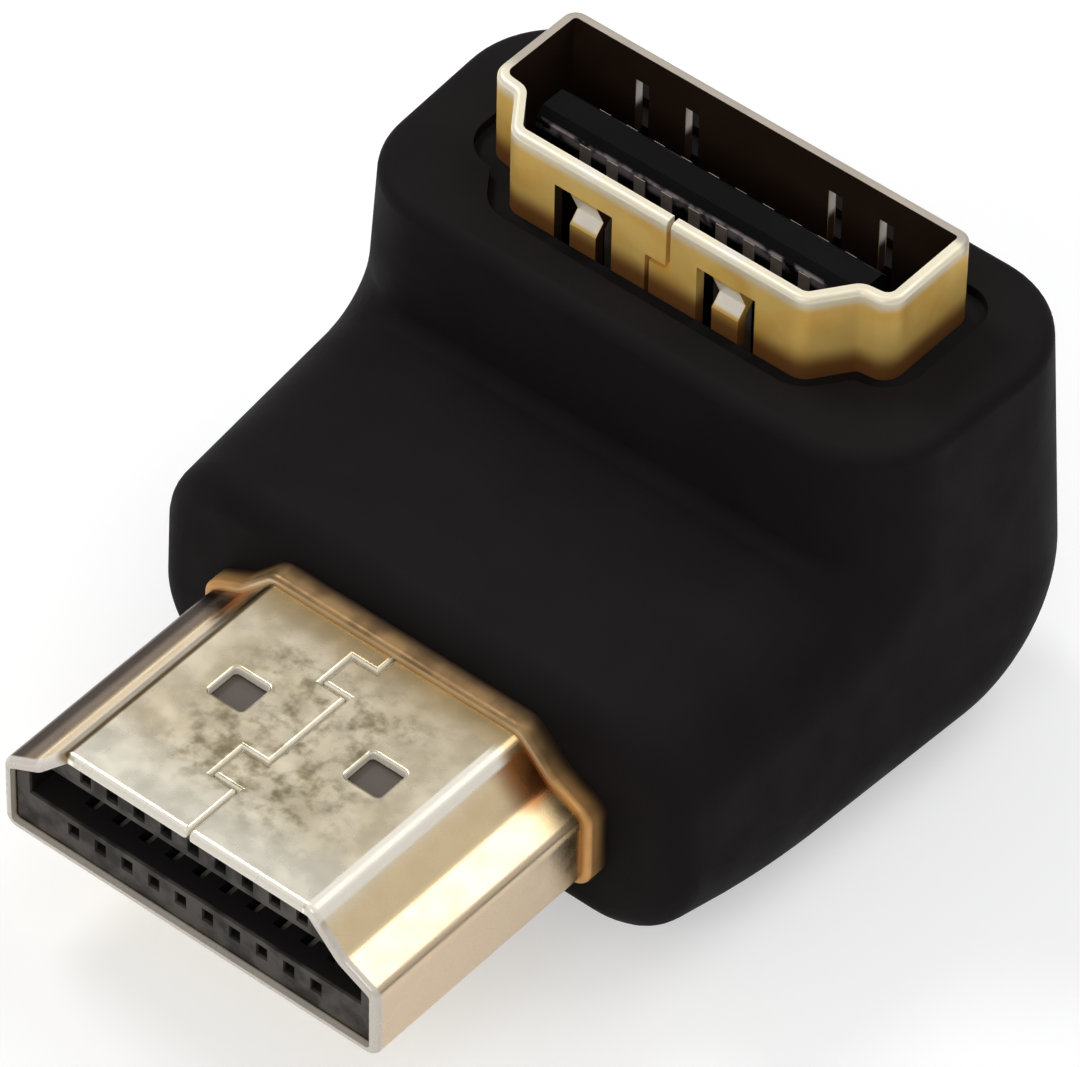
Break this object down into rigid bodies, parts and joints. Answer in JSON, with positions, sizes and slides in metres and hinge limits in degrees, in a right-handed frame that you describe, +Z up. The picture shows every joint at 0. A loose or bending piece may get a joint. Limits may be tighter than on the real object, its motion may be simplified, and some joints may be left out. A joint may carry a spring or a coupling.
{
  "type": "right-angle video adapter",
  "caption": "Right-angle adapter with a gold-plated flat plug at the front and a matching gold-plated socket on top, joined in a black moulded L-shaped body.",
  "frame": {"origin": "centre of the plug's mouth: middle of the shell's width and height, in the plane of its front edge", "axes": "+Y runs from the plug's mouth into the body, +Z points up out of the socket, X runs across the width"},
  "size_m": [0.0212, 0.028, 0.0168],
  "materials": {
    "body_plastic": "satin black, soft to the touch",
    "core_plastic": "natural, unpigmented",
    "plug_gold": "pale gold plate over folded sheet",
    "collar_gold": "gold plate",
    "socket_gold": "yellow gold plate over folded sheet",
    "contact_gold": "thin gold plate",
    "insulator_plastic": "glass-filled black",
    "tongue_plastic": "matte black",
    "board": "green solder mask over laminate"
  },
  "bodies": {
    "root": {"circuit_board": "board", "inner_mold": "core_plastic", "overmold": "body_plastic", "plug_collar": "collar_gold", "plug_contact_01": "contact_gold", "plug_contact_02": "contact_gold", "plug_contact_03": "contact_gold", "plug_contact_04": "contact_gold", "plug_contact_05": "contact_gold", "plug_contact_06": "contact_gold", "plug_contact_07": "contact_gold", "plug_contact_08": "contact_gold", "plug_contact_09": "contact_gold", "plug_contact_10": "contact_gold", "plug_contact_11": "contact_gold", "plug_contact_12": "contact_gold", "plug_contact_13": "contact_gold", "plug_contact_14": "contact_gold", "plug_contact_15": "contact_gold", "plug_contact_16": "contact_gold", "plug_contact_17": "contact_gold", "plug_contact_18": "contact_gold", "plug_contact_19": "contact_gold", "plug_insulator": "insulator_plastic", "plug_shell": "plug_gold", "socket_contact_01": "contact_gold", "socket_contact_02": "contact_gold", "socket_contact_03": "contact_gold", "socket_contact_04": "contact_gold", "socket_contact_05": "contact_gold", "socket_contact_06": "contact_gold", "socket_contact_07": "contact_gold", "socket_contact_08": "contact_gold", "socket_contact_09": "contact_gold", "socket_contact_10": "contact_gold", "socket_contact_11": "contact_gold", "socket_contact_12": "contact_gold", "socket_contact_13": "contact_gold", "socket_contact_14": "contact_gold", "socket_contact_15": "contact_gold", "socket_contact_16": "contact_gold", "socket_contact_17": "contact_gold", "socket_contact_18": "contact_gold", "socket_contact_19": "contact_gold", "socket_insulator": "tongue_plastic", "socket_shell": "socket_gold"}
  },
  "joints": []
}
